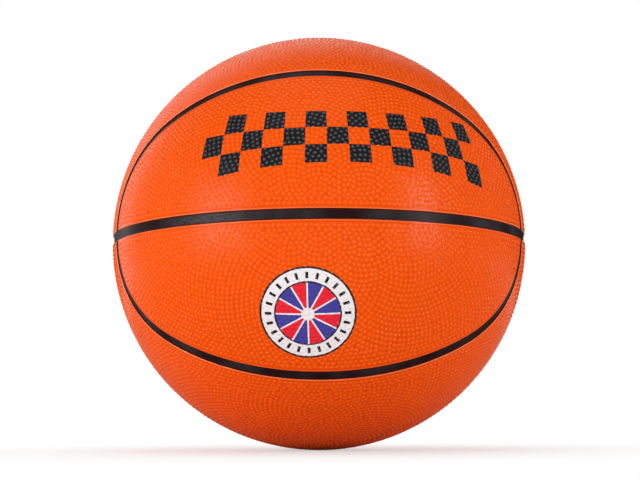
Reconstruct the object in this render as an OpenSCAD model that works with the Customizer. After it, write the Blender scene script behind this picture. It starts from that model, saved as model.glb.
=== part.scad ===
// Rubber basketball of the full adult size. Eight moulded cover panels and the black seam strips
// between them are bonded on a rubber carcass, a nylon winding, an air bladder and its needle valve.
// The origin is the centre of the ball. +Z is square to the equator seam, and the front eye of
// panels, which one sees in a side view of the ball, faces -Y.

/* [Ball] */
// Outside diameter over the cover
ball_d = 242; // [230:0.5:250]

/* [Layers] */
// Thickness of the cover panels
cover_t = 1.7; // [1.4:0.1:3]
// Thickness of the rubber carcass under the cover
carcass_t = 0.5; // [0.3:0.1:1.5]
// Thickness of the nylon thread winding
winding_t = 0.35; // [0.2:0.05:1]
// Thickness of the air bladder
bladder_t = 0.5; // [0.3:0.1:1.5]

/* [Seams] */
// Width of the seam channels
seam_w = 5.7; // [4:0.1:8]
// Depth of the seam channels below the cover
seam_depth = 1; // [0.5:0.1:1.3]
// Width of the smooth border between a panel's edge and its pebbled field
border_w = 1.6; // [0.8:0.1:3]
// Depth of the border below the pebbled field
border_drop = 0.2; // [0.1:0.05:0.4]
// Half the angle between the two arms of a seam loop, seen along X
loop_half_angle = 42; // [38:0.5:48]
// Radius of the rounded corner of a seam loop, seen along X
loop_corner_r = 80; // [65:1:90]

/* [Valve place] */
// Angle of the valve above the equator seam, in the back upper panel
valve_lift = 14; // [10:1:30]

/* [Valve land] */
// Radius of the smooth raised land round the valve
land_r = 8.5; // [7:0.5:12]
// Height of the land above the ball's surface, at the valve's axis
land_raise = 0.3; // [0.1:0.1:1]
// Width of the sloping edge of the land
land_bevel = 0.6; // [0.2:0.1:1.5]

/* [Valve plug] */
// Radius of the plug's head, which fills the hole in the cover
plug_head_r = 4.5; // [4:0.1:5]
// Height of the plug's head
plug_head_h = 2.6; // [2.2:0.1:4]
// How far the head lies below the land
plug_sink = 0.4; // [0:0.1:1]
// Radius of the plug's stem
plug_stem_r = 3.4; // [2.8:0.1:3.8]
// Length of the whole plug
plug_len = 14; // [11:0.5:20]
// Radius of the collar that holds the plug in its seat
collar_r = 4.4; // [4:0.1:5]
// Length of the collar
collar_len = 2.4; // [1.5:0.1:3]
// Depth of the collar's middle below the plug's top
collar_depth = 6.5; // [5:0.1:7.5]
// Radius of the needle passage, a press fit on an inflating needle
needle_hole_r = 1; // [0.8:0.05:1.2]
// Length of the needle passage, from the plug's top
needle_hole_len = 11.5; // [6:0.5:12.5]
// Radius of the dimple that guides the needle
dimple_r = 2.2; // [1.5:0.1:3]
// Depth of the dimple
dimple_depth = 1; // [0.4:0.1:1.5]

/* [Valve seat] */
// Radius of the seat's flange, bonded inside the bladder
flange_r = 15; // [11:0.5:20]
// Thickness of the seat's flange
flange_t = 1.2; // [0.8:0.1:2]
// Radius of the seat's neck and barrel
barrel_r = 6.6; // [6:0.1:8]
// Length of the barrel inside the bladder
barrel_len = 13; // [9:0.5:20]
// Radius of the air hole through the end of the barrel
air_hole_r = 1.5; // [0.8:0.1:2.5]

/* [Hidden] */
$fn = 128;
cover_colour = "#f0581a";
rubber_colour = "#1c1b1c";
winding_colour = "gainsboro";

ball_r = ball_d / 2;
carcass_r = ball_r - cover_t;
winding_r = carcass_r - carcass_t;
bladder_r = winding_r - winding_t;
air_r = bladder_r - bladder_t;
strip_r = ball_r - seam_depth;
strip_t = cover_t - seam_depth;
half_seam = seam_w / 2;

// How far cutting shapes run past what they cut
overrun = 5;
reach = ball_d;

// Centre of a loop's rounded corner, in front of the ball's centre
loop_centre = loop_corner_r / sin(loop_half_angle);

// Heights along the valve's axis, from the ball's centre
land_top = ball_r + land_raise;
plug_top = land_top - plug_sink;
plug_end = plug_top - plug_len;
barrel_end = air_r - barrel_len;

// A hollow ball of a given outer radius and wall
module shell(outer_r, wall) {
    difference() {
        sphere(r = outer_r);
        sphere(r = outer_r - wall);
    }
}

// Everything more than a given distance above the equator
module above(gap) {
    translate([-reach, -reach, gap]) cube([2 * reach, 2 * reach, reach]);
}

// Everything more than a given distance in front of the meridian
module ahead(gap) {
    translate([-reach, -reach - gap, -reach]) cube([2 * reach, reach, 2 * reach]);
}

// A strip all round the equator, as wide as a seam
module seam_ring() {
    intersection() {
        shell(strip_r, strip_t);
        translate([-reach, -reach, -half_seam]) cube([2 * reach, 2 * reach, seam_w]);
    }
}

// The outline of the front loop seen along X, grown by a given distance: a wedge with its point
// at the ball's centre, rounded to a circle that both of its arms touch
module loop_outline(grow) {
    corner = loop_corner_r + grow;
    arm = [-cos(loop_half_angle), sin(loop_half_angle)];
    touch = [corner * sin(loop_half_angle) - loop_centre, corner * cos(loop_half_angle)];
    end = touch + reach * arm;
    translate([-loop_centre, 0]) circle(r = corner);
    polygon([touch, end, [end[0], -end[1]], [touch[0], -touch[1]]]);
}

// The space inside the front loop, right through the ball along X
module loop_block(grow) {
    rotate([90, 0, 90]) linear_extrude(2 * reach, center = true) loop_outline(grow);
}

// The space inside the front loop and above the equator, a given distance clear of the seams
module eye_space(gap) {
    intersection() {
        loop_block(-half_seam - gap);
        above(half_seam + gap);
    }
}

// The space between the front loop and the meridian, above the equator, as clear of the seams
module crown_space(gap) {
    difference() {
        intersection() {
            above(half_seam + gap);
            ahead(half_seam + gap);
        }
        loop_block(half_seam + gap);
    }
}

// The half above the equator of the panels inside the front loop: a smooth border all round, and
// the pebbled field inside it, which stands a little higher
module eye_half() {
    intersection() {
        shell(ball_r - border_drop, cover_t - border_drop);
        eye_space(0);
    }
    intersection() {
        shell(ball_r, cover_t);
        eye_space(border_w);
    }
}

// The panel between the front loop and the meridian, above the equator, made the same way
module crown_half() {
    intersection() {
        shell(ball_r - border_drop, cover_t - border_drop);
        crown_space(0);
    }
    intersection() {
        shell(ball_r, cover_t);
        crown_space(border_w);
    }
}

// The strip along the front loop above the equator
module loop_strip() {
    intersection() {
        shell(strip_r, strip_t);
        above(half_seam);
        difference() {
            loop_block(half_seam);
            loop_block(-half_seam);
        }
    }
}

// The strip along the meridian above the equator
module meridian_strip() {
    intersection() {
        rotate([90, 0, 0]) seam_ring();
        above(half_seam);
    }
}

// Turns the valve's own axis, +Z, to the valve's place on the back of the ball
module at_valve() {
    rotate([valve_lift - 90, 0, 0]) children();
}

module front_panel_upper() {
    color(cover_colour) eye_half();
}

module front_panel_lower() {
    color(cover_colour) mirror([0, 0, 1]) eye_half();
}

// The back upper panel carries the valve's land, with the hole that the plug's head fills
module back_panel_upper() {
    color(cover_colour) difference() {
        union() {
            mirror([0, 1, 0]) eye_half();
            difference() {
                at_valve() valve_land();
                sphere(r = carcass_r);
            }
        }
        at_valve() cylinder(r = plug_head_r, h = reach);
    }
}

module back_panel_lower() {
    color(cover_colour) mirror([0, 1, 0]) mirror([0, 0, 1]) eye_half();
}

module crown_panel_front() {
    color(cover_colour) crown_half();
}

module crown_panel_back() {
    color(cover_colour) mirror([0, 1, 0]) crown_half();
}

module base_panel_front() {
    color(cover_colour) mirror([0, 0, 1]) crown_half();
}

module base_panel_back() {
    color(cover_colour) mirror([0, 1, 0]) mirror([0, 0, 1]) crown_half();
}

// The equator strip runs unbroken round the ball, and the other strips butt against it
module seam_equator() {
    color(rubber_colour) seam_ring();
}

module seam_meridian_upper() {
    color(rubber_colour) meridian_strip();
}

module seam_meridian_lower() {
    color(rubber_colour) mirror([0, 0, 1]) meridian_strip();
}

module seam_loop_front_upper() {
    color(rubber_colour) loop_strip();
}

module seam_loop_front_lower() {
    color(rubber_colour) mirror([0, 0, 1]) loop_strip();
}

module seam_loop_back_upper() {
    color(rubber_colour) mirror([0, 1, 0]) loop_strip();
}

module seam_loop_back_lower() {
    color(rubber_colour) mirror([0, 1, 0]) mirror([0, 0, 1]) loop_strip();
}

// One closed layer of the ball, with the hole that the valve seat's neck passes through
module layer(outer_r, wall) {
    difference() {
        shell(outer_r, wall);
        at_valve() cylinder(r = barrel_r, h = reach);
    }
}

module carcass() {
    color(rubber_colour) layer(carcass_r, carcass_t);
}

module winding() {
    color(winding_colour) layer(winding_r, winding_t);
}

module bladder() {
    color(rubber_colour) layer(bladder_r, bladder_t);
}

// The land is a low disc with a sloping edge, whose foot goes below the cover's surface
module valve_land() {
    foot = sqrt(carcass_r * carcass_r - land_r * land_r) - overrun;
    rotate_extrude() polygon([
        [0, foot],
        [land_r, foot],
        [land_r, land_top - land_bevel],
        [land_r - land_bevel, land_top],
        [0, land_top]
    ]);
}

// The outer form of the plug: a head, a stem, the collar that holds it and a rounded-off end
module plug_form() {
    taper = plug_stem_r / 4;
    collar_low = plug_top - collar_depth - collar_len / 2;
    collar_high = collar_low + collar_len;
    collar_slope = (collar_r - plug_stem_r) / 2;
    rotate_extrude() polygon([
        [0, plug_end],
        [plug_stem_r - taper, plug_end],
        [plug_stem_r, plug_end + taper],
        [plug_stem_r, collar_low - collar_slope],
        [collar_r, collar_low + collar_slope],
        [collar_r, collar_high],
        [plug_stem_r, collar_high],
        [plug_stem_r, plug_top - plug_head_h],
        [plug_head_r, plug_top - plug_head_h],
        [plug_head_r, plug_top],
        [0, plug_top]
    ]);
}

// The plug, with its blind needle passage and the dimple that guides the needle into it
module valve_plug() {
    color(rubber_colour) at_valve() difference() {
        plug_form();
        translate([0, 0, plug_top - needle_hole_len])
            cylinder(r = needle_hole_r, h = needle_hole_len + overrun);
        translate([0, 0, plug_top - dimple_depth])
            cylinder(r1 = needle_hole_r, r2 = dimple_r, h = dimple_depth);
    }
}

// The seat: a flange against the inside of the bladder, a neck that passes through the layers up
// to the cover, and a barrel that holds the plug and lets the air through its end
module valve_seat() {
    color(rubber_colour) difference() {
        union() {
            intersection() {
                shell(air_r, flange_t);
                at_valve() cylinder(r = flange_r, h = reach);
            }
            intersection() {
                sphere(r = carcass_r);
                at_valve() translate([0, 0, barrel_end]) cylinder(r = barrel_r, h = reach);
            }
        }
        at_valve() plug_form();
        at_valve() translate([0, 0, barrel_end - overrun])
            cylinder(r = air_hole_r, h = plug_end - barrel_end + 2 * overrun);
    }
}

front_panel_upper();
front_panel_lower();
back_panel_upper();
back_panel_lower();
crown_panel_front();
crown_panel_back();
base_panel_front();
base_panel_back();
seam_equator();
seam_meridian_upper();
seam_meridian_lower();
seam_loop_front_upper();
seam_loop_front_lower();
seam_loop_back_upper();
seam_loop_back_lower();
carcass();
winding();
bladder();
valve_seat();
valve_plug();
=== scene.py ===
import math

import bmesh
import bpy
import numpy as np
from mathutils import Matrix, Vector, noise as clouds
from mathutils.geometry import delaunay_2d_cdt
from mathutils.kdtree import KDTree


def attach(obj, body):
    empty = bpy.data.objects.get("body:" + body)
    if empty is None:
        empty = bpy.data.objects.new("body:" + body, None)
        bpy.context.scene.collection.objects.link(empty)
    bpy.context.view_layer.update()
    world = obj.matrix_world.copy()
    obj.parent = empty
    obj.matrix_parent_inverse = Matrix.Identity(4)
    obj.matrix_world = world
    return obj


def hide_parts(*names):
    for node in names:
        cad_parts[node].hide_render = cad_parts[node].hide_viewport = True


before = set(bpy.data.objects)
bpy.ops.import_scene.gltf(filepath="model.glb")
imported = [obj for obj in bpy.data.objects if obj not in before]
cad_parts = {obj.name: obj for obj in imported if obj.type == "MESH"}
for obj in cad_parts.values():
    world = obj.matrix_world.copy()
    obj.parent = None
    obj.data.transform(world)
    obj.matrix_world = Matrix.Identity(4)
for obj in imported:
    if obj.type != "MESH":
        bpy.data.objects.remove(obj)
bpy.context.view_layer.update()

# lengths are metres, angles are degrees, and the ball's centre is the origin
ball = {
    "radius": 0.121,
    "coverThick": 0.0017,
    "seamWidth": 0.0057,
    "seamDepth": 0.001,
    "loopHalfAngle": 42.0,    # between a loop's arm and the Y axis, seen along X
    "loopCorner": 0.080,      # radius of a loop's rounded corner, seen along X
}
radius = ball["radius"]
carcassRadius = radius - ball["coverThick"]
halfSeam = ball["seamWidth"] / 2
armAngle = math.radians(ball["loopHalfAngle"])
armWay = np.array([math.cos(armAngle), math.sin(armAngle)])      # forwards and up
armSide = np.array([-math.sin(armAngle), math.cos(armAngle)])    # square to the arm, out of the loop
cornerCentre = ball["loopCorner"] / math.sin(armAngle)


def newObject(name, data):
    made = bpy.data.objects.new(name, data)
    bpy.context.scene.collection.objects.link(made)
    return made


def meshFrom(bm, name):
    mesh = bpy.data.meshes.new(name)
    bm.to_mesh(mesh)
    bm.free()
    return mesh


def wayTo(across, above):    # a direction, in degrees round from the front and above the equator
    across, above = math.radians(across), math.radians(above)
    level = math.cos(above)
    return np.array([math.sin(across) * level, -math.cos(across) * level, math.sin(above)])


# Rows of points on the ball. A row runs from the right (+X) to the left over the top.

def onBall(forward, up, side):
    return np.stack([side, -forward, up], axis=1)


def loopRow(offset, low, steps=80):    # beside the front loop, offset out of it, ending at the height low
    corner = ball["loopCorner"] + offset
    start = math.asin(low / corner)
    turn = np.linspace(start, math.pi / 2 - armAngle, steps)
    forward = cornerCentre - corner * np.cos(turn)
    up = corner * np.sin(turn)
    rounded = onBall(forward, up, np.sqrt(radius ** 2 - forward ** 2 - up ** 2))
    circle = math.sqrt(radius ** 2 - offset ** 2)
    touch = cornerCentre * armWay[0]
    last = math.acos(touch / circle)
    swing = np.linspace(last, -last, 2 * steps)[1:-1]
    flat = np.outer(circle * np.cos(swing), armWay) + offset * armSide
    straight = onBall(flat[:, 0], flat[:, 1], circle * np.sin(swing))
    return np.concatenate([rounded, straight, (rounded * (-1, 1, 1))[::-1]])


def meridianRow(offset, low, steps=160):
    circle = math.sqrt(radius ** 2 - offset ** 2)
    start = math.asin(low / circle)
    turn = np.linspace(start, math.pi - start, steps)
    return onBall(np.full(steps, offset), circle * np.sin(turn), circle * np.cos(turn))


def equatorRow(height, first, last, steps=160):    # from one point's side of the ball to another's
    circle = math.sqrt(radius ** 2 - height ** 2)
    turn = np.linspace(math.atan2(first[1], first[0]), math.atan2(last[1], last[0]), steps)
    return onBall(-circle * np.sin(turn), np.full(steps, height), circle * np.cos(turn))


def spread(row, count):    # the same row with count even steps
    walked = np.concatenate([[0], np.cumsum(np.linalg.norm(np.diff(row, axis=0), axis=1))])
    wanted = np.linspace(0, walked[-1], count + 1)
    even = np.stack([np.interp(wanted, walked, row[:, k]) for k in range(3)], axis=1)
    return even * (radius / np.linalg.norm(even, axis=1, keepdims=True))


def rowLength(row):
    return float(np.linalg.norm(np.diff(row, axis=0), axis=1).sum())


def outline(kind, inset, gap):    # all round a panel, inset from its edge, with points about a gap apart
    low = halfSeam + inset
    if kind == "eye":
        top = loopRow(-low, low)
        sides = [top, equatorRow(low, top[-1], top[0])]
    else:
        top = loopRow(low, low)
        back = meridianRow(low, low)[::-1]
        sides = [top, equatorRow(low, top[-1], back[0]), back, equatorRow(low, back[-1], top[0])]
    parts = [spread(side, max(1, round(rowLength(side) / gap)))[:-1] for side in sides]
    return np.concatenate(parts)


def edgeGap(points, kind):    # how far points of the ball lie inside a panel's edge
    forward, up = -points[:, 1], points[:, 2]
    along = forward * armWay[0] + up * armWay[1]
    beside = forward * armSide[0] + up * armSide[1]
    fromCorner = np.hypot(forward - cornerCentre, up) - ball["loopCorner"]
    fromLoop = np.where(along > cornerCentre * armWay[0], beside, fromCorner)
    if kind == "eye":
        return np.minimum(-fromLoop, up) - halfSeam
    return np.minimum(np.minimum(fromLoop, up), forward) - halfSeam


# Pebbles. A row stands beside each seam, and the rest lie on a spiral and settle between the rows.

pebbles = {
    "gap": 0.00284,         # from one pebble to the next
    "margin": 0.0028,       # from a panel's edge to the middle of its first row
    "width": 0.0018,        # across the foot of a pebble
    "height": 0.00032,
    "fullness": 1.0,        # power that shapes a pebble, from 1 for a plain dome to 2 for a soft peak
    "unevenness": 0.28,     # share by which heights vary from one pebble to the next
    "wornShare": 0.25,      # share by which they vary from place to place
    "wornScale": 28.0,      # of those places, per metre
    "jitter": 0.00022,      # by which pebbles stand off their even places
    "settling": 24,         # rounds in which they push each other apart
    "lookEvery": 6,         # rounds after which each pebble's neighbours are found again
    "neighbours": 8,
    "pushReach": 1.15,      # in gaps
    "push": 0.22,
    "rowClear": 0.55,       # in gaps, kept free beside a row along a seam
    "ringClear": 0.60,      # and beside the valve's ring
    "leastFar": 1e-9,       # added to each distance, so that none is nothing
    "plainFrom": 1.9,       # in foot radii from a pebble, where the cover starts to be plain
    "plainTo": 2.0,
    "spiralAt": {"eye": (4.0, 4.0), "crown": (0.0, 66.0)},    # a spiral's pole, round the ball and up
    "relief": 0.00032,      # finer relief of a pebble, which the material adds
    "cuts": {"eye": 4, "crown": 3},    # between two pebbles in the cover's mesh
    "seed": 11,
}
valve = {
    "lift": 14.0,           # angle above the equator, on the back
    "holeRadius": 0.0045,
    "rollWidth": 0.0005,    # of the rounded rim of the hole
    "rollDrop": 0.00025,
    "landRadius": 0.0085,
    "landRaise": 0.0003,
    "landBevel": 0.0006,    # width of the land's sloping edge
    "bevelDrop": 0.6,       # in bevel widths, by which the edge falls over its width
    "bevelReach": 2.0,      # in bevel widths, where its fall ends
    "skirtGap": 0.0004,     # from the land to the skirt, over which the cover takes over again
    "skirtWidth": 0.0006,
    "pebbleRadius": 0.0112,    # of the ring of pebbles round the land
    "fewest": 8,            # points in a ring round the valve
    "plugSink": 0.0004,
    "plugEdge": 0.0004,     # of the plug's rounded edges
    "dimpleRadius": 0.0022,
    "dimpleDepth": 0.0010,
    "dimpleWaist": 0.62,    # share of its width that the dimple has half way down
    "needleRadius": 0.0010,
    "needleDepth": 0.0115,
    "headHeight": 0.0026,
    "stemRadius": 0.0034,
    "plugLength": 0.0140,
}
sideWay = np.array([1.0, 0, 0])
valveWay = wayTo(0, valve["lift"])


def pointTree(points):
    tree = KDTree(len(points))
    for index, point in enumerate(points):
        tree.insert(point, index)
    tree.balance()
    return tree


def fromValve(points):    # how far points lie from the valve's axis, while it is still on the front
    along = points @ valveWay
    return np.linalg.norm(points - np.outer(along, valveWay), axis=1)


def valveRing(ringRadius, gap):
    up = np.cross(sideWay, valveWay)
    count = max(valve["fewest"], round(2 * math.pi * ringRadius / gap))
    turn = np.linspace(0, 2 * math.pi, count, endpoint=False)
    ring = ringRadius * (np.outer(np.cos(turn), sideWay) + np.outer(np.sin(turn), up))
    return ring + valveWay * math.sqrt(radius ** 2 - ringRadius ** 2)


def spiralPoints(kind, gap):    # an even scatter, each point a golden angle on from the last
    cell = gap ** 2 * math.sqrt(3) / 2    # the area that a pebble takes
    count = round(4 * math.pi * radius ** 2 / cell)
    index = np.arange(count)
    along = 1 - (2 * index + 1) / count
    out = np.sqrt(1 - along ** 2)
    goldenAngle = math.pi * (3 - math.sqrt(5))
    turn = -index * goldenAngle
    pole = wayTo(*pebbles["spiralAt"][kind])
    across = math.radians(pebbles["spiralAt"][kind][0])
    side = np.array([math.cos(across), math.sin(across), 0])
    up = np.cross(side, pole)
    ring = np.outer(out * np.cos(turn), side) + np.outer(out * np.sin(turn), up)
    return radius * (np.outer(along, pole) + ring)


def settle(still, loose, gap, rounds):    # loose points push away from their neighbours
    for turn in range(rounds):
        points = np.concatenate([still, loose])
        if turn % pebbles["lookEvery"] == 0:
            tree = pointTree(points)
            count = pebbles["neighbours"] + 1
            near = np.array([[hit[1] for hit in tree.find_n(point, count)[1:]] for point in loose])
        away = loose[:, None, :] - points[near]
        far = np.linalg.norm(away, axis=2, keepdims=True) + pebbles["leastFar"]
        push = np.clip(pebbles["pushReach"] * gap - far, 0, gap) * away / far
        loose = loose + pebbles["push"] * push.sum(axis=1)
        loose = loose * (radius / np.linalg.norm(loose, axis=1, keepdims=True))
    return loose


def pebblePlaces(kind, withValve):
    gap = pebbles["gap"]
    still = outline(kind, pebbles["margin"], gap)
    loose = spiralPoints(kind, gap)
    clear = edgeGap(loose, kind) > pebbles["margin"] + pebbles["rowClear"] * gap
    if withValve:
        still = np.concatenate([still, valveRing(valve["pebbleRadius"], gap)])
        clear &= fromValve(loose) > valve["pebbleRadius"] + pebbles["ringClear"] * gap
    loose = settle(still, loose[clear], gap, pebbles["settling"])
    loose += np.random.default_rng(pebbles["seed"]).uniform(-1, 1, loose.shape) * pebbles["jitter"]
    loose *= radius / np.linalg.norm(loose, axis=1, keepdims=True)
    return np.concatenate([still, loose])


# Cover panels

panels = {
    "edgeStep": 0.0015,     # between points along a panel's edge
    "lipWidth": 0.0009,     # of the smooth lip beside a seam
    "lipSink": 0.00016,     # of the lip below the tops of the pebbles
    "rollWidth": 0.00045,   # of the lip's rounded corner
    "rollDrop": 0.00040,
    "lipFall": 0.0008,      # over which the lip falls to the valleys between the pebbles
    "lean": {"eye": 21.0, "crown": 66.0},    # angle of a panel's middle above the front
    "weld": 1e-7,           # points as near as this are one point
    "sliver": 2e-6,         # a triangle that lies further in than this belongs to the panel
    "holeSliver": 2e-5,     # and one that lies no further into the hole than this
}


def flatten(points, middle):    # the ball seen from its far side, which keeps all small shapes true
    up = np.cross(middle, sideWay)
    scale = 2 * radius / (radius + points @ middle)
    return np.stack([points @ sideWay * scale, points @ up * scale], axis=1)


def unflatten(flat, middle):
    up = np.cross(middle, sideWay)
    spreadOut = (flat ** 2).sum(axis=1, keepdims=True) / (4 * radius ** 2)
    inPlane = flat[:, :1] * sideWay + flat[:, 1:] * up
    return (inPlane + radius * (1 - spreadOut) * middle) / (1 + spreadOut)


def faceOutwards(bm):
    bmesh.ops.recalc_face_normals(bm, faces=bm.faces[:])
    first = bm.faces[:][0]
    if first.normal.dot(first.calc_center_median()) < 0:
        bmesh.ops.reverse_faces(bm, faces=bm.faces[:])


def fitCarcass(bm, below):    # rounds the inner wall of a solid to the carcass
    for v in bm.verts:
        if v.co.length < below:
            v.co = v.co.normalized() * carcassRadius


def panelNet(kind, withValve, places):    # triangles over the panel, with a corner at each pebble
    edge = outline(kind, 0, panels["edgeStep"])
    lipHighlight = outline(kind, panels["lipWidth"], panels["edgeStep"])
    rows = [edge, lipHighlight, places]
    loops = [range(len(edge))]
    if withValve:
        steps = [valve["holeRadius"], valve["landRadius"] - valve["landBevel"],
                 valve["landRadius"], valve["landRadius"] + valve["skirtWidth"]]
        rings = [valveRing(step, panels["edgeStep"]) for step in steps]
        loops.append(range(sum(map(len, rows)), sum(map(len, rows)) + len(rings[0])))
        rows += rings
    points = np.concatenate(rows)
    middle = wayTo(0, panels["lean"][kind])
    flat = [Vector(p) for p in flatten(points, middle)]
    joins = [(a, b) for loop in loops for a, b in zip(loop, [*loop[1:], loop[0]])]
    corners, _, faces, _, _, _ = delaunay_2d_cdt(flat, joins, [], 0, panels["weld"])
    solid = unflatten(np.array([[c.x, c.y] for c in corners]), middle)
    faces = np.array(faces)
    centres = solid[faces].mean(axis=1)
    keep = edgeGap(centres, kind) > panels["sliver"]
    if withValve:
        keep &= fromValve(centres) > valve["holeRadius"] - panels["holeSliver"]
    bm = bmesh.new()
    made = [bm.verts.new(p) for p in solid]
    for face in faces[keep]:
        bm.faces.new([made[k] for k in face])
    faceOutwards(bm)
    return bm


def smooth(share):
    return share * share * (3 - 2 * share)


def roll(share):    # how far a rounded edge has dropped, from 1 at the edge to 0 where the roll ends
    return 1 - np.sqrt(np.clip(1 - (1 - share) ** 2, 0, 1))


def coverHeights(points, kind, withValve, places):    # how far the cover stands off the plain ball
    tree = pointTree(places)
    found = [tree.find(point)[1:] for point in points]
    nearest = np.array([hit[0] for hit in found])
    far = np.array([hit[1] for hit in found]) / (pebbles["width"] / 2)
    vary = np.random.default_rng(pebbles["seed"]).uniform(-1, 1, len(places)) * pebbles["unevenness"]
    vary += [clouds.noise(Vector(place) * pebbles["wornScale"]) * pebbles["wornShare"] for place in places]
    dome = np.clip(1 - far ** 2, 0, 1) ** pebbles["fullness"] * (1 + vary[nearest])
    height = (dome - 1) * pebbles["height"]
    fromEdge = edgeGap(points, kind)
    beyond = np.clip((fromEdge - panels["lipWidth"]) / panels["lipFall"], 0, 1)
    height = height + (1 - smooth(beyond)) * (-panels["lipSink"] - height)
    rolled = np.clip(fromEdge / panels["rollWidth"], 0, 1)
    height -= panels["rollDrop"] * roll(rolled)
    if withValve:
        out = fromValve(points)
        land = radius + valve["landRaise"] - np.sqrt(radius ** 2 - out ** 2)
        bevel = np.clip((out - valve["landRadius"] + valve["landBevel"]) / valve["landBevel"],
                        0, valve["bevelReach"])
        onLand = land - valve["landBevel"] * bevel ** 2 * valve["bevelDrop"]
        rolled = np.clip((out - valve["holeRadius"]) / valve["rollWidth"], 0, 1)
        onLand -= valve["rollDrop"] * roll(rolled)
        blend = np.clip((out - valve["landRadius"] - valve["skirtGap"]) / valve["skirtWidth"], 0, 1)
        height = np.where(blend < 1, onLand * (1 - blend) + height * blend, height)
    return height, far


def panelMesh(name, kind, withValve=False):
    places = pebblePlaces(kind, withValve)
    bm = panelNet(kind, withValve, places)
    bmesh.ops.solidify(bm, geom=bm.faces[:], thickness=ball["coverThick"])
    middle = (radius + carcassRadius) / 2
    fitCarcass(bm, middle)
    outerEdges = [e for e in bm.edges if all(v.co.length > middle for v in e.verts)]
    bmesh.ops.subdivide_edges(bm, edges=outerEdges, cuts=pebbles["cuts"][kind], use_grid_fill=True)
    mesh = meshFrom(bm, name)
    points = np.empty(len(mesh.vertices) * 3, np.float32)
    mesh.vertices.foreach_get("co", points)
    points = points.reshape(-1, 3).astype(float)
    size = np.linalg.norm(points, axis=1)
    outer = size > middle
    ways = points / size[:, None]
    heights, far = coverHeights(ways[outer] * radius, kind, withValve, places)
    points[outer] = ways[outer] * (radius + heights)[:, None]
    mesh.vertices.foreach_set("co", points.astype(np.float32).ravel())
    fromPebble = np.full(len(points), pebbles["plainTo"])
    fromPebble[outer] = np.clip(far, 0, pebbles["plainTo"])
    for layer, values in {"edge": edgeGap(ways * radius, kind), "pebble": fromPebble}.items():
        made = mesh.attributes.new(layer, "FLOAT", "POINT")
        made.data.foreach_set("value", values.astype(np.float32))
    mesh.update()
    print(name, "pebbles", len(places), "triangles", sum(len(p.vertices) - 2 for p in mesh.polygons))
    return mesh


sharpAngle = math.radians(50)    # edges from this angle up stay sharp


def addPiece(name, mesh, slot, *nodes):
    piece = newObject(name, mesh)
    mesh.shade_smooth()
    mesh.set_sharp_from_angle(angle=sharpAngle)
    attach(piece, "root")
    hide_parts(*nodes)
    return piece


def mirrored(mesh, name, axes):
    copy = mesh.copy()
    copy.name = name
    for axis in axes:
        copy.transform(Matrix.Scale(-1, 4, Vector([float(axis == k) for k in "xyz"])))
        copy.flip_normals()
    return copy


eyeMesh = panelMesh("eye", "eye")
valveMesh = panelMesh("valveEye", "eye", True)
crownMesh = panelMesh("crown", "crown")
panelPlans = {
    "front_panel_upper": (eyeMesh, ""),
    "front_panel_lower": (eyeMesh, "z"),
    "back_panel_upper": (valveMesh, "y"),
    "back_panel_lower": (eyeMesh, "yz"),
    "crown_panel_front": (crownMesh, ""),
    "crown_panel_back": (crownMesh, "y"),
    "base_panel_front": (crownMesh, "z"),
    "base_panel_back": (crownMesh, "yz"),
}
covers = {}
for node, (mesh, axes) in panelPlans.items():
    covers[node] = addPiece("cover_" + node, mirrored(mesh, node, axes), "cover", node)
print("cover panels made", len(covers))


# Seam strips, which lie in the channels between the panels

strips = {
    "along": 0.0020,        # length of a step along a strip
    "across": 12,           # steps across it
    "fillet": 0.00035,      # width of the rise at each side
    "rise": 0.00018,
    "weld": 1e-6,           # points as near as this are one point, where the ring closes
}


def stripMesh(name, rowAt, closed=False):    # rowAt gives the row at an offset from the seam's middle
    count = round(rowLength(rowAt(0.0)) / strips["along"])
    bm = bmesh.new()
    bmesh.ops.create_grid(bm, x_segments=count, y_segments=strips["across"], size=0.5)
    sideLayer = bm.verts.layers.float.new("side")

    def share(v):    # from -1 to 1 across the strip
        return 2 * round(v.co.y, 6)

    rows = {k: spread(rowAt(k * halfSeam), count) for k in {share(v) for v in bm.verts}}
    top = radius - ball["seamDepth"]
    for v in bm.verts:
        side = abs(share(v))
        point = rows[share(v)][round((v.co.x + 0.5) * count)]
        v[sideLayer] = side
        sideGap = halfSeam * (1 - side)
        lift = strips["rise"] * max(0.0, 1 - sideGap / strips["fillet"]) ** 2
        v.co = Vector(point).normalized() * (top + lift)
    if closed:
        bmesh.ops.remove_doubles(bm, verts=bm.verts[:], dist=strips["weld"])
    faceOutwards(bm)
    bmesh.ops.solidify(bm, geom=bm.faces[:], thickness=top - carcassRadius)
    fitCarcass(bm, (top + carcassRadius) / 2)
    return meshFrom(bm, name)


def equatorStripRow(offset, steps=721):
    circle = math.sqrt(radius ** 2 - offset ** 2)
    turn = np.linspace(0, 2 * math.pi, steps)
    return onBall(-circle * np.sin(turn), np.full(steps, offset), circle * np.cos(turn))


loopStrip = stripMesh("loopStrip", lambda offset: loopRow(offset, halfSeam))
meridianStrip = stripMesh("meridianStrip", lambda offset: meridianRow(offset, halfSeam))
stripPlans = {
    "seam_equator": (stripMesh("equatorStrip", equatorStripRow, True), ""),
    "seam_meridian_upper": (meridianStrip, ""),
    "seam_meridian_lower": (meridianStrip, "z"),
    "seam_loop_front_upper": (loopStrip, ""),
    "seam_loop_front_lower": (loopStrip, "z"),
    "seam_loop_back_upper": (loopStrip, "y"),
    "seam_loop_back_lower": (loopStrip, "yz"),
}
stripPieces = {}
for node, (mesh, axes) in stripPlans.items():
    stripPieces[node] = addPiece("strip_" + node, mirrored(mesh, node, axes), "seam", node)
print("seam strips made", len(stripPieces))


# Valve plug, spun about the valve's axis

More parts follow.
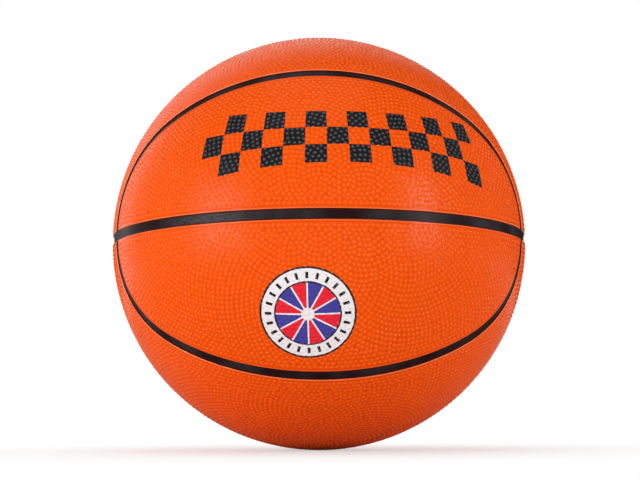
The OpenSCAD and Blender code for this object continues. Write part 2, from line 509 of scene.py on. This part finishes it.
def plugMesh(steps=64):
    top = radius + valve["landRaise"] - valve["plugSink"]
    hole, edge = valve["holeRadius"], valve["plugEdge"]
    dimple, needle = valve["dimpleRadius"], valve["needleRadius"]
    profile = [(needle, top - valve["needleDepth"]), (needle, top - valve["dimpleDepth"]),
               (dimple * valve["dimpleWaist"], top - valve["dimpleDepth"] / 2), (dimple, top - edge / 4),
               (dimple + edge, top), (hole - 1.5 * edge, top), (hole - edge / 2, top - edge / 4),
               (hole, top - edge), (hole, top - valve["headHeight"]),
               (valve["stemRadius"], top - valve["headHeight"]),
               (valve["stemRadius"], top - valve["plugLength"])]
    bm = bmesh.new()
    points = [bm.verts.new((out, 0, up)) for out, up in profile]
    edges = [bm.edges.new(pair) for pair in zip(points, points[1:])]
    bmesh.ops.spin(bm, geom=points + edges, cent=(0, 0, 0), axis=(0, 0, 1), angle=2 * math.pi,
                   steps=steps, use_merge=True, use_duplicate=False)
    bmesh.ops.remove_doubles(bm, verts=bm.verts[:], dist=panels["weld"])
    bmesh.ops.holes_fill(bm, edges=[e for e in bm.edges if e.is_boundary], sides=0)
    bmesh.ops.recalc_face_normals(bm, faces=bm.faces[:])
    lean = Matrix.Rotation(math.radians(valve["lift"] - 90), 4, "X")
    bmesh.ops.transform(bm, matrix=lean, verts=bm.verts[:])
    return meshFrom(bm, "plug")


plug = addPiece("plug_head", plugMesh(), "valve", "valve_plug")
print("valve plug made")


# Materials

def feed(tree, node, inputs):    # links what is a socket, and sets what is a value
    for key, value in dict(inputs).items():
        if isinstance(value, bpy.types.NodeSocket):
            tree.links.new(value, node.inputs[key])
        else:
            node.inputs[key].default_value = value


def add(tree, kind, inputs=(), **settings):
    made = tree.nodes.new(kind)
    for key, value in settings.items():
        setattr(made, key, value)
    feed(tree, made, inputs)
    return made


def newTree(owner, kind):    # an empty tree of nodes with its output
    owner.use_nodes = True
    tree = owner.node_tree
    tree.nodes.clear()
    return tree, tree.nodes.new(kind)


def newMaterial(name):
    material = bpy.data.materials.new(name)
    tree, output = newTree(material, "ShaderNodeOutputMaterial")
    shader = tree.nodes.new("ShaderNodeBsdfPrincipled")
    tree.links.new(shader.outputs[0], output.inputs["Surface"])
    return material, tree, shader


def objectPlace(tree):
    return add(tree, "ShaderNodeTexCoord").outputs["Object"]


def attribute(tree, name):
    return add(tree, "ShaderNodeAttribute", attribute_name=name).outputs["Fac"]


def maths(tree, operation, *values):
    return add(tree, "ShaderNodeMath", dict(enumerate(values)), operation=operation).outputs[0]


def times(tree, first, second):
    return maths(tree, "MULTIPLY", first, second)


def measure(tree, operation, *vectors):    # a length, a distance or a dot product
    return add(tree, "ShaderNodeVectorMath", dict(enumerate(vectors)), operation=operation).outputs["Value"]


def between(tree, value, low, high):    # 1 inside the two limits, 0 outside
    return times(tree, maths(tree, "GREATER_THAN", value, low), maths(tree, "LESS_THAN", value, high))


def paint(tree, under, colour, mask):
    return add(tree, "ShaderNodeMix", {0: mask, 6: under, 7: colour}, data_type="RGBA").outputs[2]


def noise(tree, place, scale, detail):
    return add(tree, "ShaderNodeTexNoise", {"Vector": place, "Scale": scale, "Detail": detail}).outputs[0]


def drift(tree, place, scale, detail, amount):    # noise that strays to both sides of 0
    return times(tree, maths(tree, "SUBTRACT", noise(tree, place, scale, detail), 0.5), amount)


def ramp(tree, value, low, high, first=0.0, last=1.0):
    return add(tree, "ShaderNodeMapRange", {"Value": value, "From Min": low, "From Max": high,
                                            "To Min": first, "To Max": last}).outputs[0]


def patches(tree, place, scale, detail, low, high, first=0.0, last=1.0):    # a ramp over noise
    return ramp(tree, noise(tree, place, scale, detail), low, high, first, last)


# Prints. The upper panel has a chequered band, and the lower one a round badge.

band = {
    "left": -32.0,          # angles round the ball from the front, to the right
    "right": 47.0,
    "top": 27.6,            # angles above the equator
    "bottom": 13.0,
    "bottomAtEnds": 9.2,
    "columns": 14,
    "rows": 3,
    "ragged": (900.0, 2.0, 0.006),    # scale, detail and amount of its edges' drift
    "ink": (0.012, 0.011, 0.012, 1),
}
badge = {
    "across": -3.4,         # angles of its middle
    "above": -24.5,
    "radius": 0.0248,
    "outerLine": 0.0010,    # width of the line round the badge
    "innerRadius": 0.0165,
    "innerLine": 0.0008,    # and of the line round its wedges
    "ticks": 24,
    "tickRadius": 0.0204,
    "tickLength": 0.0034,
    "tickWidth": 0.0015,
    "wedges": 12,
    "wedgeGap": 0.0004,     # half the white gap between two wedges
    "hub": 0.0034,
    "ragged": (900.0, 2.0, 0.0005),    # scale, detail and amount of its edges' drift
    "white": (0.80, 0.76, 0.77, 1),
    "black": (0.012, 0.011, 0.012, 1),
    "red": (0.75, 0.018, 0.035, 1),
    "blue": (0.055, 0.050, 0.30, 1),
}


def bandPrint(tree, place, under):
    axes = add(tree, "ShaderNodeSeparateXYZ", {0: place}).outputs
    size = measure(tree, "LENGTH", place)
    across = maths(tree, "ARCTAN2", axes[0], times(tree, axes[1], -1.0))
    above = maths(tree, "ARCSINE", maths(tree, "DIVIDE", axes[2], size))
    left, right, top, bottom, ends = [math.radians(band[key]) for key in
                                      ("left", "right", "top", "bottom", "bottomAtEnds")]
    wobble = drift(tree, place, *band["ragged"])
    along = ramp(tree, maths(tree, "ADD", across, wobble), left, right, -1.0, 1.0)
    along.node.clamp = False
    low = maths(tree, "ADD", bottom, times(tree, ends - bottom, maths(tree, "POWER", along, 2.0)))
    rise = maths(tree, "SUBTRACT", maths(tree, "ADD", above, wobble), low)
    row = times(tree, maths(tree, "DIVIDE", rise, maths(tree, "SUBTRACT", top, low)), band["rows"])
    column = times(tree, maths(tree, "ADD", along, 1.0), band["columns"] / 2)
    square = maths(tree, "FLOORED_MODULO",
                   maths(tree, "ADD", maths(tree, "FLOOR", column), maths(tree, "FLOOR", row)), 2.0)
    inside = times(tree, between(tree, row, 0.0, band["rows"]), between(tree, column, 0.0, band["columns"]))
    ink = times(tree, square, inside)
    return paint(tree, under, band["ink"], ink), ink


def badgePrint(tree, place, under):
    across, above = math.radians(badge["across"]), math.radians(badge["above"])
    side = (math.cos(across), math.sin(across), 0.0)
    rise = (-math.sin(above) * math.sin(across), math.sin(above) * math.cos(across), math.cos(above))
    right = measure(tree, "DOT_PRODUCT", place, side)
    up = measure(tree, "DOT_PRODUCT", place, rise)
    wobble = drift(tree, place, *badge["ragged"])
    squares = maths(tree, "ADD", maths(tree, "POWER", right, 2.0), maths(tree, "POWER", up, 2.0))
    out = maths(tree, "ADD", maths(tree, "SQRT", squares), wobble)
    turn = maths(tree, "ARCTAN2", up, right)

    def spokes(count):    # the distance to the nearest of count spokes, and which wedge this is
        step = 2 * math.pi / count
        wedge = maths(tree, "DIVIDE", turn, step)
        offset = maths(tree, "SUBTRACT", wedge, maths(tree, "ROUND", wedge))
        return times(tree, maths(tree, "ABSOLUTE", times(tree, offset, step)), out), wedge

    colour = paint(tree, under, badge["white"], maths(tree, "LESS_THAN", out, badge["radius"]))
    outerLine = between(tree, out, badge["radius"] - badge["outerLine"], badge["radius"])
    innerLine = between(tree, out, badge["innerRadius"], badge["innerRadius"] + badge["innerLine"])
    tickGap, _ = spokes(badge["ticks"])
    halfTick = badge["tickLength"] / 2
    tick = times(tree, maths(tree, "LESS_THAN", tickGap, badge["tickWidth"] / 2),
                 between(tree, out, badge["tickRadius"] - halfTick, badge["tickRadius"] + halfTick))
    black = maths(tree, "MAXIMUM", maths(tree, "MAXIMUM", outerLine, innerLine), tick)
    colour = paint(tree, colour, badge["black"], black)
    wedgeGap, wedge = spokes(badge["wedges"])
    inWedge = times(tree, maths(tree, "GREATER_THAN", wedgeGap, badge["wedgeGap"]),
                    between(tree, out, badge["hub"], badge["innerRadius"]))
    odd = maths(tree, "FLOORED_MODULO", maths(tree, "FLOOR", wedge), 2.0)
    colour = paint(tree, colour, badge["red"], times(tree, inWedge, odd))
    colour = paint(tree, colour, badge["blue"], times(tree, inWedge, maths(tree, "SUBTRACT", 1.0, odd)))
    return colour, black


# What is called patches holds a noise's scale and detail, the two of its values between which the patches
# rise, and what they rise from and to. What is called drift holds a scale, a detail and an amount.

coverLook = {
    # the top and valley colours: painted shade, the cover darker the lower it lies between the pebbles
    "top": (0.92, 0.107, 0.002, 1),
    "shadedValley": (0.84, 0.092, 0.001, 1),
    "mottleDrift": (30.0, 3.0, 0.35),
    "speckleDrift": (700.0, 3.0, 0.5),
    "gap": (0.70, 0.045, 0.001, 1),    # painted shade, darkest in the middle between pebbles
    "gapShadeFrom": 1.05,        # in foot radii from the nearest pebble
    "gapShadeTo": 1.80,
    "gapShadeShare": 0.88,
    "plainShadeShare": 0.30,     # of the gaps' painted shade on smooth rubber, far from any pebble
    "tipHighlight": (0.97, 0.260, 0.095, 1),    # painted highlight on the very tops of the pebbles
    "tipHighlightShare": 0.90,
    "tipReach": 0.52,       # in foot radii
    "tipPatches": (160.0, 4.0, 0.36, 0.64, 0.15, 1.0),
    "inkGlint": (0.105, 0.110, 0.125, 1),    # painted highlight: the tops of inked pebbles, painted grey
    "inkGlintReach": 1.15,    # in foot radii, where the painted highlight starts
    "inkGlintFull": 0.3,      # and where it is strongest
    "inkGlintShare": 0.75,
    "inkTipHighlightShare": 0.30,    # what a tip's painted highlight adds to it
    # painted highlight along each lip beside a seam
    "lipHighlight": (0.91, 0.220, 0.080, 1),
    "lipHighlightReach": 0.00040,     # how far from its edge a lip has its painted highlight
    "lipHighlightFull": 0.00028,    # and how far it is so in full
    "lipPatches": (90.0, 2.0, 0.2, 0.6, 0.45, 0.95),
    "seamPaint": (0.010, 0.009, 0.009, 1),
    "seamPaintDepth": 0.00056,    # how far below the pebbles' tops the seam's black begins
    "seamPaintReach": 0.0008,     # how far from a panel's edge it goes at most
    "seamPaintDrift": (400.0, 2.0, 0.00015),
    "roughPatches": (500.0, 3.0, 0.3, 0.7, 0.09, 0.18),
    "grain": (2600.0, 2.0),    # scale and detail of the finest relief
    "grainShare": 0.03,
    "specular": 0.13,
}


def coverMaterial(name, printOn=None):
    material, tree, shader = newMaterial(name)
    place = objectPlace(tree)
    out = measure(tree, "LENGTH", place)
    edge, fromPebble = attribute(tree, "edge"), attribute(tree, "pebble")
    # painted shade: the lower a point lies, the nearer its colour is to the shaded valley, with random
    # mottle and speckle
    lift = ramp(tree, out, radius - pebbles["height"], radius)
    mottled = maths(tree, "ADD", lift, drift(tree, place, *coverLook["mottleDrift"]))
    heightShadeAndMottle = maths(tree, "ADD", mottled, drift(tree, place, *coverLook["speckleDrift"]))
    colour = paint(tree, coverLook["shadedValley"], coverLook["top"], heightShadeAndMottle)
    # painted shade in the gaps between the pebbles
    gapShadeShare = ramp(tree, fromPebble, pebbles["plainTo"], pebbles["plainFrom"],
                    coverLook["plainShadeShare"], coverLook["gapShadeShare"])
    inGapShade = times(tree, ramp(tree, fromPebble, coverLook["gapShadeFrom"], coverLook["gapShadeTo"]), gapShadeShare)
    colour = paint(tree, colour, coverLook["gap"], inGapShade)
    # painted highlight: the pebbles' tops are painted pale, in patches
    onTip = ramp(tree, fromPebble, coverLook["tipReach"], 0.0, 0.0, coverLook["tipHighlightShare"])
    tipHighlightMask = times(tree, onTip, patches(tree, place, *coverLook["tipPatches"]))
    colour = paint(tree, colour, coverLook["tipHighlight"], tipHighlightMask)
    # painted highlight on the lips beside the seams
    onLipHighlight = ramp(tree, edge, coverLook["lipHighlightReach"], coverLook["lipHighlightFull"])
    colour = paint(tree, colour, coverLook["lipHighlight"],
                   times(tree, onLipHighlight, patches(tree, place, *coverLook["lipPatches"])))
    if printOn:
        colour, ink = printOn(tree, place, colour)
        # painted highlight on the tops of the inked pebbles
        onInkGlint = ramp(tree, fromPebble, coverLook["inkGlintReach"], coverLook["inkGlintFull"],
                     0.0, coverLook["inkGlintShare"])
        inkGlintMask = maths(tree, "ADD", onInkGlint, times(tree, tipHighlightMask, coverLook["inkTipHighlightShare"]))
        colour = paint(tree, colour, coverLook["inkGlint"], times(tree, ink, inkGlintMask))
    ragged = maths(tree, "ADD", out, drift(tree, place, *coverLook["seamPaintDrift"]))
    inSeam = times(tree, maths(tree, "LESS_THAN", ragged, radius - coverLook["seamPaintDepth"]),
                   maths(tree, "LESS_THAN", edge, coverLook["seamPaintReach"]))
    colour = paint(tree, colour, coverLook["seamPaint"], inSeam)
    squared = maths(tree, "POWER", fromPebble, 2.0)
    onPebble = maths(tree, "MAXIMUM", maths(tree, "SUBTRACT", 1.0, squared), 0.0)
    domes = maths(tree, "POWER", onPebble, pebbles["fullness"])
    grain = times(tree, noise(tree, place, *coverLook["grain"]), coverLook["grainShare"])
    relief = times(tree, maths(tree, "ADD", domes, grain), pebbles["relief"])
    bump = add(tree, "ShaderNodeBump", {"Height": relief, "Strength": 1.0, "Distance": 1.0}).outputs[0]
    feed(tree, shader, {"Base Color": colour, "Normal": bump,
                        "Roughness": patches(tree, place, *coverLook["roughPatches"]),
                        "Specular IOR Level": coverLook["specular"]})
    return material


rubberLook = {
    "colour": (0.0140, 0.0045, 0.0050, 1),
    "worn": (0.030, 0.027, 0.032, 1),
    "wear": {"seam": 1.0, "valve": 0.3, "carcass": 0.6, "bladder": 0.2},
    "cloud": (45.0, 5.0),     # scale and detail of the noise that wears the rubber
    "wornBetween": (0.42, 0.72),
    "side": (0.045, 0.005, 0.002, 1),    # painted shade in the corners of a channel, a dark reddish brown
    "sideShadeBetween": (0.60, 0.85),         # from a strip's middle line to its edge
    "scuffSheen": (0.060, 0.062, 0.066, 1),
    "scuffSheenAt": (-0.060, -0.105, 0.0),    # where the equator's strip has a painted sheen, drawn as scuffs
    "scuffSheenReach": 0.034,                 # how far the painted sheen goes
    "scuffSheenCore": 0.0102,                 # and how far from there it is painted in full
    "scuffSheenPatches": (900.0, 3.0, 0.35, 0.72),
    "roughBetween": (0.3, 0.8, 0.30, 0.48),    # two of the cloud's values, and the roughness at each
    "relief": (900.0, 3.0),
    "bump": {"Strength": 0.15, "Distance": 0.0002},
    "specular": 0.09,
}


def blackRubber(kind):
    material, tree, shader = newMaterial(kind + "Rubber")
    place = objectPlace(tree)
    cloud = noise(tree, place, *rubberLook["cloud"])
    worn = ramp(tree, cloud, *rubberLook["wornBetween"], 0.0, rubberLook["wear"][kind])
    colour = paint(tree, rubberLook["colour"], rubberLook["worn"], worn)
    if kind == "seam":
        # painted sheen on the equator's strip at the front left, broken up like scuffs
        fromScuffSheen = measure(tree, "DISTANCE", place, rubberLook["scuffSheenAt"])
        inScuffSheen = ramp(tree, fromScuffSheen, rubberLook["scuffSheenReach"], rubberLook["scuffSheenCore"])
        scratches = patches(tree, place, *rubberLook["scuffSheenPatches"])
        colour = paint(tree, colour, rubberLook["scuffSheen"], times(tree, inScuffSheen, scratches))
        # painted shade in the corners of the channel
        inCornerShade = ramp(tree, attribute(tree, "side"), *rubberLook["sideShadeBetween"])
        colour = paint(tree, colour, rubberLook["side"], inCornerShade)
    relief = noise(tree, place, *rubberLook["relief"])
    bump = add(tree, "ShaderNodeBump", {"Height": relief, **rubberLook["bump"]}).outputs[0]
    feed(tree, shader, {"Base Color": colour, "Normal": bump,
                        "Roughness": ramp(tree, cloud, *rubberLook["roughBetween"]),
                        "Specular IOR Level": rubberLook["specular"]})
    return material


windingLook = {
    "under": (0.45, 0.44, 0.40, 1),
    "thread": (0.78, 0.77, 0.72, 1),
    "turn": (0.6, 0.4, 0.2),    # radians, which set the thread askew
    "waves": {"Scale": 900.0, "Distortion": 2.0},
    "bump": {"Strength": 0.5, "Distance": 0.0002},
    "roughness": 0.6,
}


def nylonWinding():
    material, tree, shader = newMaterial("nylonThread")
    askew = add(tree, "ShaderNodeMapping", {"Vector": objectPlace(tree), "Rotation": windingLook["turn"]})
    thread = add(tree, "ShaderNodeTexWave", {"Vector": askew.outputs[0], **windingLook["waves"]}).outputs[1]
    bump = add(tree, "ShaderNodeBump", {"Height": thread, **windingLook["bump"]}).outputs[0]
    feed(tree, shader, {"Base Color": paint(tree, windingLook["under"], windingLook["thread"], thread),
                        "Normal": bump, "Roughness": windingLook["roughness"]})
    return material


def dress(piece, material):
    piece.data.materials.clear()
    piece.data.materials.append(material)


prints = {"front_panel_upper": bandPrint, "front_panel_lower": badgePrint}
plainCover = coverMaterial("coverRubber")
for node, cover in covers.items():
    printed = coverMaterial("coverRubber_" + node, prints[node]) if node in prints else plainCover
    dress(cover, printed)
seamRubber = blackRubber("seam")
for strip in stripPieces.values():
    dress(strip, seamRubber)
valveRubber = blackRubber("valve")
dress(plug, valveRubber)
hidden = {"carcass": blackRubber("carcass"), "winding": nylonWinding(),
          "bladder": blackRubber("bladder"), "valve_seat": valveRubber}
for node, material in hidden.items():
    dress(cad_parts[node], material)
print("materials made")


# Camera, where the photograph was taken from: a little below the ball's middle

view = {
    "distance": 0.8004,
    "yaw": 0.36,
    "pitch": -7.36,
    "roll": -0.28,
    "focalPixels": 1349.8,
    "ballAt": (318.94, 243.99),    # pixels in the photograph's frame
    "frameSize": (640, 480),
    "sensor": 36.0,         # millimetres
    "nearest": 0.01,        # where the camera starts to see
}
rollTurn, pitchTurn, yawTurn = [Matrix.Rotation(math.radians(view[key]), 4, axis)
                                for key, axis in (("roll", "Y"), ("pitch", "X"), ("yaw", "Z"))]
turned = rollTurn @ pitchTurn @ yawTurn
lens = bpy.data.cameras.new("camera")
camera = newObject("camera", lens)
camera.matrix_world = (turned.inverted() @ Matrix.Translation((0, -view["distance"], 0))
                       @ Matrix.Rotation(math.radians(90), 4, "X"))
frameWidth, frameHeight = view["frameSize"]
lens.sensor_width = view["sensor"]
lens.lens = view["focalPixels"] * view["sensor"] / frameWidth
lens.shift_x = (frameWidth / 2 - view["ballAt"][0]) / frameWidth
lens.shift_y = (view["ballAt"][1] - frameHeight / 2) / frameWidth
lens.clip_start = view["nearest"]
bpy.context.scene.camera = camera
print("camera at", [round(v, 4) for v in camera.matrix_world.translation])


# Floor, background and lamps

stageLook = {
    "floorSize": 3.0,
    "floorColour": (0.90, 0.90, 0.90, 1),
    "nearGlow": 0.55,       # share of plain white in the floor, near the ball and far from it
    "farGlow": 1.0,
    "glowFrom": 0.10,
    "glowTo": 0.24,
    "mirroredFrom": 0.5,    # where the floor starts to be mirrored white, and where it is all white
    "mirroredTo": 2.0,
    "backdropWay": (-0.20, 0.78, 0.59),    # towards the white backdrop behind the ball
    "backdropFrom": 0.85,   # how far a direction points that way where the backdrop starts
    "backdropTo": 0.98,
    "worldStrength": 0.42,
    "backdropStrength": 0.95,    # of the soft light that the backdrop gives
    "mirroredBehind": 0.05,      # strength of the world where gloss mirrors it, behind the ball
    "mirroredAhead": 0.45,       # and in front of it, low down
    "behindBetween": (0.7, 0.0),    # how far back a direction points, from behind to in front
    "aboveBetween": (0.9, 0.3),     # how far up it points, from above to low down
    "mirroredFloor": (0.28, 0.28, 0.28, 1),    # colour of the floor near the ball where gloss mirrors it
}


def seenWhite(tree, share):    # the camera sees white, and what is mirrored sees it by the share given
    rays = add(tree, "ShaderNodeLightPath").outputs
    inMirror = maths(tree, "MAXIMUM", rays["Is Glossy Ray"], rays["Is Transmission Ray"])
    return maths(tree, "MAXIMUM", rays["Is Camera Ray"], times(tree, inMirror, share))


plainWhite = (1, 1, 1, 1)


def floorMaterial():
    material = bpy.data.materials.new("floorWhite")
    tree, output = newTree(material, "ShaderNodeOutputMaterial")
    inGloss = add(tree, "ShaderNodeLightPath").outputs["Is Glossy Ray"]
    colour = paint(tree, stageLook["floorColour"], stageLook["mirroredFloor"], inGloss)
    matt = add(tree, "ShaderNodeBsdfDiffuse", {"Color": colour})
    glow = add(tree, "ShaderNodeEmission", {"Color": plainWhite, "Strength": 1.0})
    place = objectPlace(tree)
    flatPlace = add(tree, "ShaderNodeVectorMath", {0: place, 1: (1, 1, 0)}, operation="MULTIPLY").outputs[0]
    out = measure(tree, "LENGTH", flatPlace)
    share = ramp(tree, out, stageLook["glowFrom"], stageLook["glowTo"],
                 stageLook["nearGlow"], stageLook["farGlow"])
    inMirror = ramp(tree, out, stageLook["mirroredFrom"], stageLook["mirroredTo"])
    lit = add(tree, "ShaderNodeMixShader", {0: times(tree, seenWhite(tree, inMirror), share),
                                            1: matt.outputs[0], 2: glow.outputs[0]})
    clear = add(tree, "ShaderNodeBsdfTransparent")
    under = add(tree, "ShaderNodeNewGeometry").outputs["Backfacing"]
    both = add(tree, "ShaderNodeMixShader", {0: under, 1: lit.outputs[0], 2: clear.outputs[0]})
    tree.links.new(both.outputs[0], output.inputs["Surface"])
    return material


bm = bmesh.new()
bmesh.ops.create_grid(bm, x_segments=2, y_segments=2, size=stageLook["floorSize"])
bmesh.ops.translate(bm, vec=(0, 0, -radius), verts=bm.verts[:])
floor = newObject("floor", meshFrom(bm, "floor"))
dress(floor, floorMaterial())

world = bpy.data.worlds.new("studio")
bpy.context.scene.world = world
worldTree, worldOut = newTree(world, "ShaderNodeOutputWorld")
way = add(worldTree, "ShaderNodeTexCoord").outputs["Generated"]
back = measure(worldTree, "DOT_PRODUCT", way, stageLook["backdropWay"])
lit = ramp(worldTree, back, 0.0, 1.0, stageLook["worldStrength"], stageLook["backdropStrength"])
inGloss = add(worldTree, "ShaderNodeLightPath").outputs["Is Glossy Ray"]
wayAxes = add(worldTree, "ShaderNodeSeparateXYZ", {0: way}).outputs
ahead = times(worldTree, ramp(worldTree, wayAxes["Y"], *stageLook["behindBetween"]),
              ramp(worldTree, wayAxes["Z"], *stageLook["aboveBetween"]))
glossLight = ramp(worldTree, ahead, 0.0, 1.0, stageLook["mirroredBehind"], stageLook["mirroredAhead"])
strength = ramp(worldTree, inGloss, 0.0, 1.0, lit, glossLight)
soft = add(worldTree, "ShaderNodeBackground", {"Color": plainWhite, "Strength": strength})
white = add(worldTree, "ShaderNodeBackground", {"Color": plainWhite, "Strength": 1.0})
backdrop = ramp(worldTree, back, stageLook["backdropFrom"], stageLook["backdropTo"])
sky = add(worldTree, "ShaderNodeMixShader",
          {0: seenWhite(worldTree, backdrop), 1: soft.outputs[0], 2: white.outputs[0]})
worldTree.links.new(sky.outputs[0], worldOut.inputs["Surface"])

lamps = {
    "leftBox": {"turn": -53.0, "rise": 4.0, "away": 1.2, "width": 0.60, "height": 0.8, "power": 10.2},
    "rightBox": {"turn": 55.0, "rise": 3.0, "away": 1.2, "width": 0.30, "height": 1.0, "power": 8.6},
    "rimBox": {"turn": -130.0, "rise": 10.0, "away": 1.3, "width": 0.4, "height": 1.1, "power": 1.7},
    "topBox": {"turn": -10.0, "rise": 75.0, "away": 1.4, "width": 1.0, "height": 1.0, "power": 1.7},
}
for name, lamp in lamps.items():
    light = bpy.data.lights.new(name, "AREA")
    light.shape = "RECTANGLE"
    light.size = lamp["width"]
    light.size_y = lamp["height"]
    light.energy = lamp["power"]
    holder = newObject(name, light)
    lampWay = Vector(wayTo(lamp["turn"], lamp["rise"]))
    holder.location = lampWay * lamp["away"]
    holder.rotation_euler = (-lampWay).to_track_quat("-Z", "Y").to_euler()
bpy.context.scene.view_settings.view_transform = "Standard"
print("stage and lamps made")
